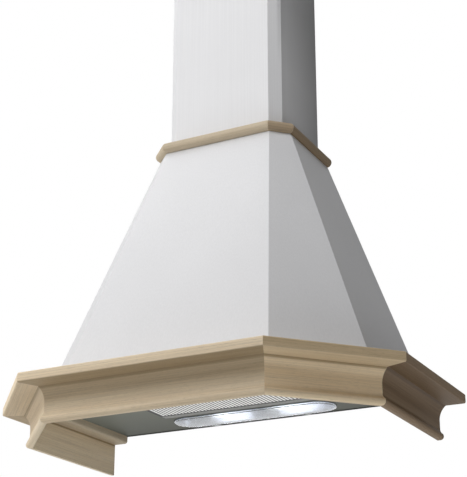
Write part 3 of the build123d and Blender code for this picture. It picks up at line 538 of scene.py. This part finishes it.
black = moulded("black_plastic", (0.035, 0.035, 0.037), 0.5)
grey_plastic = moulded("grey_plastic", (0.42, 0.43, 0.44), 0.45)
key_plastic = moulded("button_plastic", (0.13, 0.13, 0.14), 0.22, 0.00001)
ceramic = moulded("white_ceramic", (0.84, 0.83, 0.79), 0.15, 0.00001)
nylon = moulded("white_nylon", (0.82, 0.82, 0.79), 0.4)
plywood = plywood_edge("plywood")
finishes = {
    "black_plastic": black,
    "grey_plastic": grey_plastic,
    "button_plastic": key_plastic,
    "white_ceramic": ceramic,
    "white_nylon": nylon,
    "plywood": plywood,
}
for entry in frame["record"]["subparts"]:
    if entry["material_slot"] in finishes:
        finish_solids(finishes[entry["material_slot"]], entry["node"])
print("plastics and others:", sorted(finishes))

# %% [markdown]
# ### Clear plastic and lit glass
# The lamp cover is clear plastic with faint prisms that run across it, and a frosted sheet inside
# spreads the light. Both let light through and bend it little, so the dark hollow between the two
# lamps still shows. The lamps' glass glows, and its strength is set so that only the spots in
# front of the lamps turn white.

# %% Clear cover and lit lamps
def clear_plastic(name, colour, roughness, ripple, bending):
    made, tree_nodes, links, shader = start_material(name, colour, roughness)
    shader.inputs["Transmission Weight"].default_value = 1.0
    shader.inputs["IOR"].default_value = bending
    prisms = stretched_noise(tree_nodes, links, (0.004, 0.09, 0.02), detail=1.0)
    add_bump(tree_nodes, links, shader, prisms, ripple)
    return made


def lit_glass(name, strength):
    made, tree_nodes, links, shader = start_material(name, (0.95, 0.93, 0.88), 0.3)
    shader.inputs["Emission Color"].default_value = (1.0, 0.97, 0.92, 1)
    shader.inputs["Emission Strength"].default_value = strength
    frost = stretched_noise(tree_nodes, links, grey(0.002), detail=2.0)
    add_bump(tree_nodes, links, shader, frost, 0.00003)
    return made


cover_clear = clear_plastic("clear_cover", (0.93, 0.96, 0.99), 0.05, 0.00005, 1.30)
frosted = clear_plastic("frosted_cover", (0.70, 0.725, 0.76), 0.45, 0.0002, 1.12)
lamp_glass = lit_glass("lamp_glass", 13.0)
finish_solids(cover_clear, "lamp_cover")
finish_solids(lamp_glass, "bulb_left", "bulb_right")
print("lamps lit:", lamp_glass.name)

# %% [markdown]
# ## Helpers for modelling
# A few small helpers keep each step short. `alone` selects one object and nothing else, because an
# operator works on all that is selected. `settle` moves an object's place into its mesh, as the
# solids have it. `dress` gives the piece its name, its finish, the body that it moves with, and
# the solid that it stands for.

# %% Select, settle and dress
def alone(piece):
    bpy.ops.object.select_all(action="DESELECT")
    piece.select_set(True)
    bpy.context.view_layer.objects.active = piece


def settle(piece):
    alone(piece)
    bpy.ops.object.transform_apply(location=True, rotation=True, scale=True)
    return piece


def dress(piece, name, finish, body, slot, *stands_for):
    piece.name = name
    piece.data.name = name
    piece.data.materials.clear()
    piece.data.materials.append(finish)
    if stands_for:
        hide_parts(*stands_for)
    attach(piece, body)
    print(name, "faces:", len(piece.data.polygons))


def apply_modifier(piece, kind, **settings):
    alone(piece)
    added = piece.modifiers.new(kind.lower(), kind)
    for key, value in settings.items():
        setattr(added, key, value)
    bpy.ops.object.modifier_apply(modifier=added.name)


def pick(piece, kind, test):
    """In edit mode, selects the vertices, edges or faces that pass a test."""
    alone(piece)
    bpy.ops.object.mode_set(mode="EDIT")
    bpy.ops.mesh.select_mode(type=kind)
    bpy.ops.mesh.select_all(action="DESELECT")
    bpy.ops.object.mode_set(mode="OBJECT")
    mesh = piece.data
    if kind == "FACE":
        for face in mesh.polygons:
            face.select = test(face)
    elif kind == "EDGE":
        for edge in mesh.edges:
            edge.select = test(*[mesh.vertices[k].co for k in edge.vertices])
    else:
        for vertex in mesh.vertices:
            vertex.select = test(vertex.co)
    bpy.ops.object.mode_set(mode="EDIT")


def leave_edit():
    bpy.ops.object.mode_set(mode="OBJECT")


def block(low, high):
    """A box from one corner to the other, ready for edit mode."""
    bpy.ops.object.select_all(action="DESELECT")
    centre = [(a + b) / 2 for a, b in zip(low, high)]
    bpy.ops.mesh.primitive_cube_add(size=1, location=centre)
    piece = bpy.context.object
    piece.scale = [b - a for a, b in zip(low, high)]
    return settle(piece)


def join(first, *others):
    bpy.ops.object.select_all(action="DESELECT")
    for piece in (first, *others):
        piece.select_set(True)
    bpy.context.view_layer.objects.active = first
    bpy.ops.object.join()
    return first


def outward(piece):
    alone(piece)
    bpy.ops.object.mode_set(mode="EDIT")
    bpy.ops.mesh.select_all(action="SELECT")
    bpy.ops.mesh.remove_doubles(threshold=1e-6)
    bpy.ops.mesh.normals_make_consistent(inside=False)
    leave_edit()


def turned(profile, sides=32):
    """A turned shape about +Z, from a list of heights and radii, drawn up ring by ring."""
    bpy.ops.object.select_all(action="DESELECT")
    height, radius = profile[0]
    bpy.ops.mesh.primitive_circle_add(
        vertices=sides, radius=radius, fill_type="NGON", location=(0, 0, height)
    )
    piece = settle(bpy.context.object)
    bpy.ops.object.mode_set(mode="EDIT")
    bpy.ops.mesh.select_all(action="SELECT")
    for next_height, next_radius in profile[1:]:
        bpy.ops.mesh.extrude_region_move(
            TRANSFORM_OT_translate={"value": (0, 0, next_height - height)}
        )
        share = next_radius / radius
        bpy.ops.transform.resize(
            value=(share, share, 1), center_override=(0, 0, next_height)
        )
        height, radius = next_height, next_radius
    leave_edit()
    outward(piece)
    return piece


def put(piece, place, turn=(0, 0, 0)):
    piece.location = place
    piece.rotation_euler = turn
    return settle(piece)


def smooth(piece, degrees=35):
    alone(piece)
    bpy.ops.object.shade_smooth_by_angle(angle=math.radians(degrees))
    return piece


print("modelling helpers are ready")

# %% [markdown]
# ## Eased edges on the wood
# No joiner leaves a rail's edges razor sharp: a stroke of sandpaper breaks them, and each broken
# edge catches a thin line of light. The solids are exact, so here each rail is copied, its loose
# triangles are merged into clean faces, and a narrow bevel goes on every sharp edge.

# %% Break the sharp edges of every rail
def mark_proud_edges(piece, sharper_than):
    """Gives a bevel weight to edges that stand out, and none to hollow ones."""
    mesh = piece.data
    beside = {}
    for face in mesh.polygons:
        for key in face.edge_keys:
            beside.setdefault(key, []).append(face)
    weight = mesh.attributes.new("bevel_weight_edge", "FLOAT", "EDGE")
    for edge in mesh.edges:
        faces = beside[edge.key]
        if len(faces) == 2:
            first, second = faces
            proud = (second.center - first.center).dot(first.normal) < 0
            turn = first.normal.angle(second.normal)
            weight.data[edge.index].value = float(proud and turn > math.radians(sharper_than))


def eased_copy(node, width, sharper_than=32):
    name = f"eased_{node}"
    alone(nodes[node])
    bpy.ops.object.duplicate()
    piece = bpy.context.object
    piece.parent = None
    for key in list(piece.keys()):
        del piece[key]
    bpy.ops.object.mode_set(mode="EDIT")
    bpy.ops.mesh.select_all(action="SELECT")
    bpy.ops.mesh.customdata_custom_splitnormals_clear()
    bpy.ops.mesh.remove_doubles(threshold=1e-6)
    bpy.ops.mesh.dissolve_limited(angle_limit=math.radians(0.5))
    leave_edit()
    smooth(piece, sharper_than)
    mark_proud_edges(piece, sharper_than)
    piece.data.materials.append(None)
    apply_modifier(
        piece,
        "BEVEL",
        width=width,
        segments=3,
        limit_method="WEIGHT",
        harden_normals=True,
        material=1,
    )
    edge_faces = [face.material_index for face in piece.data.polygons]
    dress(piece, name, nodes[node].data.materials[0], "hood_body", "limed_wood", node)
    piece.data.materials.append(worn_wood)
    for face, index in zip(piece.data.polygons, edge_faces):
        face.material_index = index
    print(name, "eased faces:", sum(edge_faces))


fine_edge, soft_edge = 0.0006, 0.0009
for node in wood_nodes:
    eased_copy(node, fine_edge if node.endswith("side_right") else soft_edge)

# %% [markdown]
# ## The lamp cover
# The cover is one long moulding of clear plastic with round ends and a rolled lower edge, hinged
# behind. A box becomes a stadium when its upright edges are rounded almost to half its width. The
# lower rim is rounded next, the top is opened, and Solidify gives the wall its two millimetres.

# %% The cover's body
cover_low, cover_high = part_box("lamp_cover")
cover_front, rim_level = cover_low.y, cover_high.z
cover_radius, cover_drop, cover_wall, foot_round = 0.040, 0.0048, 0.002, 0.0040
cover_back = cover_front + 2 * cover_radius
base_level = rim_level - cover_drop


def stadium(low, high):
    """A box whose upright edges are rounded until its ends are half circles."""
    piece = block(low, high)
    half_width, half_height = (high[1] - low[1]) / 2, (high[2] - low[2]) / 2
    pick(piece, "EDGE", lambda a, b: abs(a.z - b.z) > half_height)
    bpy.ops.mesh.bevel(offset=half_width - 0.0001, segments=18, affect="EDGES")
    leave_edit()
    return piece


def cut_away(piece, test):
    pick(piece, "FACE", test)
    bpy.ops.mesh.delete(type="FACE")
    leave_edit()


cover = stadium((cover_low.x, cover_front, base_level), (cover_high.x, cover_back, rim_level))
pick(cover, "EDGE", lambda a, b: max(a.z, b.z) < base_level + 1e-5)
bpy.ops.mesh.bevel(offset=foot_round, segments=6, affect="EDGES")
leave_edit()
cut_away(cover, lambda face: face.normal.z > 0.9)
outward(cover)
apply_modifier(cover, "SOLIDIFY", thickness=cover_wall, offset=-1)
print("the cover's length, metres:", cover_high.x - cover_low.x)

# %% Its two hinge barrels
barrel_radius, barrel_length, barrel_wall = 0.0023, 0.016, 0.00104
hinge_reach, leaf_half, leaf_start = 0.110, 0.0079, 0.0017
hinge_y, hinge_z = cover_back + 0.004, rim_level - 0.0026
barrels = []
for x in (-hinge_reach, hinge_reach):
    bpy.ops.object.select_all(action="DESELECT")
    bpy.ops.mesh.primitive_cylinder_add(
        vertices=28, radius=barrel_radius, depth=barrel_length, end_fill_type="NOTHING"
    )
    barrel = put(bpy.context.object, (x, hinge_y, hinge_z), (0, math.pi / 2, 0))
    apply_modifier(barrel, "SOLIDIFY", thickness=barrel_wall, offset=-1)
    leaf_low = (x - leaf_half, cover_back - 0.0008, hinge_z + 0.0001)
    leaf = block(leaf_low, (x + leaf_half, hinge_y - leaf_start, hinge_z + leaf_start))
    barrels += [barrel, leaf]
join(cover, *barrels)
smooth(cover)
dress(cover, "clear_lamp_cover", cover_clear, "lamp_cover", "clear_cover", "lamp_cover")

# %% [markdown]
# A frosted sheet lies inside the cover, and a thin metal rim stands round it up to the panel. The
# rim keeps the lamps' light from leaking out as a white line along the cover's edge. Both have the
# cover's outline, a little smaller, so the same helper draws them.

# %% Frosted diffuser and metal rim
sheet_inset, rim_inset, rim_wall = 0.0031, 0.0023, 0.0007
sheet_low = base_level + 0.0027
sheet_high = sheet_low + 0.0008
diffuser = stadium(
    (cover_low.x + sheet_inset, cover_front + sheet_inset, sheet_low),
    (cover_high.x - sheet_inset, cover_back - sheet_inset, sheet_high),
)
smooth(diffuser)
dress(diffuser, "frosted_diffuser", frosted, "lamp_cover", "clear_cover")
rim = stadium(
    (cover_low.x + rim_inset, cover_front + rim_inset, sheet_high + 0.0001),
    (cover_high.x - rim_inset, cover_back - rim_inset, rim_level - 0.0001),
)
cut_away(rim, lambda face: abs(face.normal.z) > 0.9)
apply_modifier(rim, "SOLIDIFY", thickness=rim_wall, offset=-1)
smooth(rim)
dress(rim, "lamp_rim", rim_metal, "lamp_cover", "reflector")

# %% [markdown]
# ## The dark strip along the wall
# A black strip runs along the wall at the panel's rear rim, a painted shade for the rim's shadow.
# From below it is the thin dark line behind the lamps.

# %% Black strip along the wall, a painted shade
panel_low, panel_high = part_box("under_panel")
strip_end, strip_depth, strip_height = 0.004, 0.0035, 0.0016
wall_strip = block(
    (panel_low.x + strip_end, -strip_depth, rim_level - strip_height),
    (panel_high.x - strip_end, 0, rim_level),
)
apply_modifier(wall_strip, "BEVEL", width=0.0005, segments=2, limit_method="ANGLE")
smooth(wall_strip)
dress(wall_strip, "wall_shade_strip", black, "hood_body", "black_plastic")

# %% [markdown]
# ## The hood's two lamps
# Each lamp is a small screw-in bulb: a frosted glass drop on a threaded metal cap. Drawing a
# circle up ring by ring and scaling each ring is how such a turned form is made by hand.

# %% Two bulbs, each glass and cap
glass_profile = [
    (0.0002, 0.0085), (0.006, 0.0094), (0.014, 0.0125), (0.024, 0.0158), (0.034, 0.0172),
    (0.042, 0.0174), (0.052, 0.0168), (0.062, 0.0150), (0.071, 0.0124), (0.080, 0.0096),
    (0.087, 0.0068), (0.092, 0.0040), (0.0952, 0.0012),
]
cap_profile = [(-0.0218, 0.0022), (-0.0205, 0.0028), (-0.0192, 0.0052), (-0.0178, 0.0062)]
thread_pitch = 0.0030
for thread in range(5):
    level = -0.0170 + thread * thread_pitch
    cap_profile += [(level, 0.0061), (level + 0.0009, 0.0067), (level + 0.0018, 0.0061)]
cap_profile += [(0.0002, 0.0067)]
lamp_y = (cover_front + cover_back) / 2
lamp_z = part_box("bulb_left")[0].z + 0.0175
lamp_foot = 0.035  # how far each lamp's glass starts from the hood's middle
for side, sign in (("left", -1), ("right", 1)):
    place, turn = (sign * lamp_foot, lamp_y, lamp_z), (0, sign * math.pi / 2, 0)
    glass = smooth(put(turned(glass_profile, 40), place, turn), 60)
    dress(glass, f"lamp_glass_{side}", lamp_glass, "hood_body", "lamp_glass", f"bulb_{side}")
    cap = smooth(put(turned(cap_profile, 32), place, turn), 50)
    dress(cap, f"lamp_cap_{side}", steel, "hood_body", "bright_steel")

# %% [markdown]
# ## The filter's face
# Seen from below, the grease filter is a field of fine flat ribs that run from front to back, with
# thin cross wires. One rib is modelled and an array repeats it, and so is one wire. The ribs are
# fewer and flatter than the solid's, so that they still show at the photograph's size. The flat
# sheet that the solid has behind the ribs becomes a thin near-black plate above both, a painted
# shade for the filter's depth between the ribs.

# %% Ribs and wires
face_low, face_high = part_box("filter_face")
rib_count, rib_step, rib_half, rib_flatness = 46, 0.0080, 0.0025, 0.16
wire_count, wire_step, wire_radius = 12, 0.0225, 0.0003
rib_first = -(rib_count - 1) / 2 * rib_step
rib_back = face_high.y - 0.0004
rib_level = face_low.z + 0.0001
bpy.ops.object.select_all(action="DESELECT")
bpy.ops.mesh.primitive_cylinder_add(
    vertices=10,
    radius=rib_half,
    depth=rib_back - face_low.y,
    location=(rib_first, (face_low.y + rib_back) / 2, rib_level),
    rotation=(math.pi / 2, 0, 0),
)
rib = settle(bpy.context.object)
pick(rib, "VERT", lambda spot: True)
bpy.ops.transform.resize(value=(1, 1, rib_flatness), center_override=(0, 0, rib_level))
leave_edit()
bpy.ops.object.select_all(action="DESELECT")
bpy.ops.mesh.primitive_cylinder_add(
    vertices=6,
    radius=wire_radius,
    depth=face_high.x - face_low.x,
    location=((face_low.x + face_high.x) / 2, face_low.y + 0.004, rib_level),
    rotation=(0, math.pi / 2, 0),
)
wire = settle(bpy.context.object)


def repeat(piece, count, step):
    """Repeats a piece by an array with a fixed step, in metres, and applies it."""
    apply_modifier(
        piece,
        "ARRAY",
        count=count,
        use_relative_offset=False,
        use_constant_offset=True,
        constant_offset_displace=step,
    )
    smooth(piece, 60)


repeat(rib, rib_count, (rib_step, 0, 0))
repeat(wire, wire_count, (0, wire_step, 0))
on_filter = ("grease_filter", "filter_aluminium")
dress(rib, "filter_ribs", filter_metal, *on_filter, "filter_face")
dress(wire, "filter_wires", wire_metal, *on_filter)

# %% Backing plate, near black, a painted shade
plate = block((face_low.x, face_low.y, rib_level), face_high)
pick(plate, "FACE", lambda face: abs(face.normal.z) > 0.9)
bpy.ops.mesh.inset(thickness=0.002)
leave_edit()
dress(plate, "filter_shade_backing", shade_backing, *on_filter)

# %% [markdown]
# A black strip round the ribbed window is painted shade, for the shadow of the step between the
# window and its frame. It is a box whose top and bottom are inset by the strip's width, and the two
# inner loops are then bridged into an opening.

# %% Black strip round the ribbed window, a painted shade
bead_width, bead_proud, bead_bite = 0.0062, 0.0004, 0.0002
window_shadow_strip = block(
    (face_low.x - bead_width, face_low.y - bead_width, face_low.z - bead_proud),
    (face_high.x + bead_width, face_high.y + bead_width, face_low.z + bead_bite),
)
pick(window_shadow_strip, "FACE", lambda face: abs(face.normal.z) > 0.9)
bpy.ops.mesh.inset(thickness=bead_width)
bpy.ops.mesh.bridge_edge_loops()
leave_edit()
smooth(window_shadow_strip)
dress(window_shadow_strip, "filter_shadow_strip", black, "grease_filter", "black_plastic")

# %% [markdown]
# ## Screws with a cross slot
# Nine pan-head screws hold the canopy's foot down on the battens. One is turned and its slot is
# cut with two thin bars. The others are copies, each turned by another angle as real ones are.

# %% Pan-head screws
screw_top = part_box("canopy_screws")[1].z
screw_reach = 0.012  # vertices nearer than this belong to one screw
screw_turn = 0.7  # radians from one screw's slot to the next one's
screw_spots = [vertex.co.xy for vertex in nodes["canopy_screws"].data.vertices]
screw_places = []
for spot in screw_spots:
    if all((spot - other).length > screw_reach for other in screw_places):
        near = [other for other in screw_spots if (other - spot).length < screw_reach]
        screw_places.append(sum(near, Vector((0, 0))) / len(near))
screw_profile = [
    (-0.0148, 0.0004), (-0.0125, 0.0018), (-0.0021, 0.0019), (-0.0020, 0.0033), (-0.0016, 0.0034),
    (-0.0010, 0.0033), (-0.0005, 0.0029), (-0.0002, 0.0022), (-0.0001, 0.0012),
]
slot_half, slot_width, slot_floor = 0.0020, 0.00035, -0.0011
screw = turned(screw_profile, 24)
for half_x, half_y in ((slot_half, slot_width), (slot_width, slot_half)):
    slot_bar = block((-half_x, -half_y, slot_floor), (half_x, half_y, 0.001))
    apply_modifier(screw, "BOOLEAN", operation="DIFFERENCE", object=slot_bar, solver="EXACT")
    bpy.data.objects.remove(slot_bar)
smooth(screw)
copies = []
for count, spot in enumerate(screw_places):
    alone(screw)
    bpy.ops.object.duplicate()
    copies.append(put(bpy.context.object, (spot.x, spot.y, screw_top), (0, 0, screw_turn * count)))
bpy.data.objects.remove(screw)
screws = join(*copies)
dress(screws, "cross_slot_screws", screw_zinc, "hood_body", "zinc_screws", "canopy_screws")
print("screws:", len(screw_places))

# %% [markdown]
# ## Push buttons
# The five keys are the same moulding: a block with soft edges and a shallow dish for the finger.
# Each key rides on its own body, because each one is pressed by itself.

# %% Five keys
key_rim, dish_slope, dish_depth, key_edge = 0.0022, 0.0012, 0.0006, 0.0007
for number in range(1, 6):
    low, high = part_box(f"button_{number}")
    key = block(low, high)
    pick(key, "FACE", lambda face: face.normal.z < -0.9)
    bpy.ops.mesh.inset(thickness=key_rim)
    bpy.ops.mesh.inset(thickness=dish_slope, depth=-dish_depth)
    leave_edit()
    apply_modifier(key, "BEVEL", width=key_edge, segments=3, limit_method="ANGLE", angle_limit=0.5)
    smooth(key)
    node = f"button_{number}"
    dress(key, f"key_{number}", key_plastic, node, "button_plastic", node)
